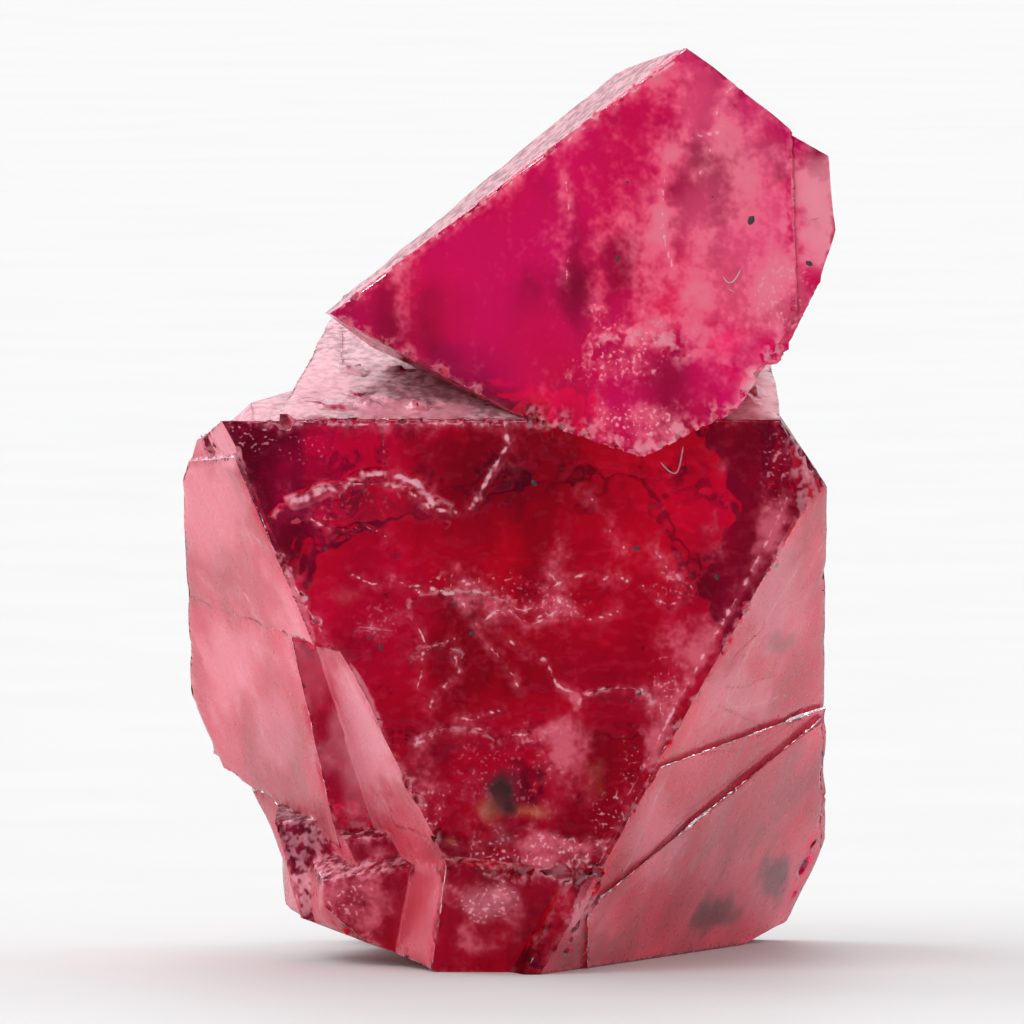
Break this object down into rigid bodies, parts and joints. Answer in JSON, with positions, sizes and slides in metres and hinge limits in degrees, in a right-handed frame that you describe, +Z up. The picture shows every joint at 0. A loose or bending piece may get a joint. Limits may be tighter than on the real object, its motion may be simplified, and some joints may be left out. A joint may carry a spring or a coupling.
{
  "type": "spinel crystal",
  "caption": "Clear red mineral crystal of octahedra grown together, a smaller one tilted on the shoulder of a larger stepped one, standing on its broken flat.",
  "frame": {"origin": "on the base plane, under the middle of the crystal's bounds", "axes": "+Z up, square to the flat base; -Y towards the large triangular front face, which leans back 3 degrees; +X to the right as that face is looked at"},
  "size_m": [0.0086, 0.0084, 0.0121],
  "materials": {
    "red_spinel": "clear red crystal, glossy on its growth faces, satin where etched and rough where chipped"
  },
  "bodies": {
    "root": {"spinel_crystal": "red_spinel"}
  },
  "joints": []
}
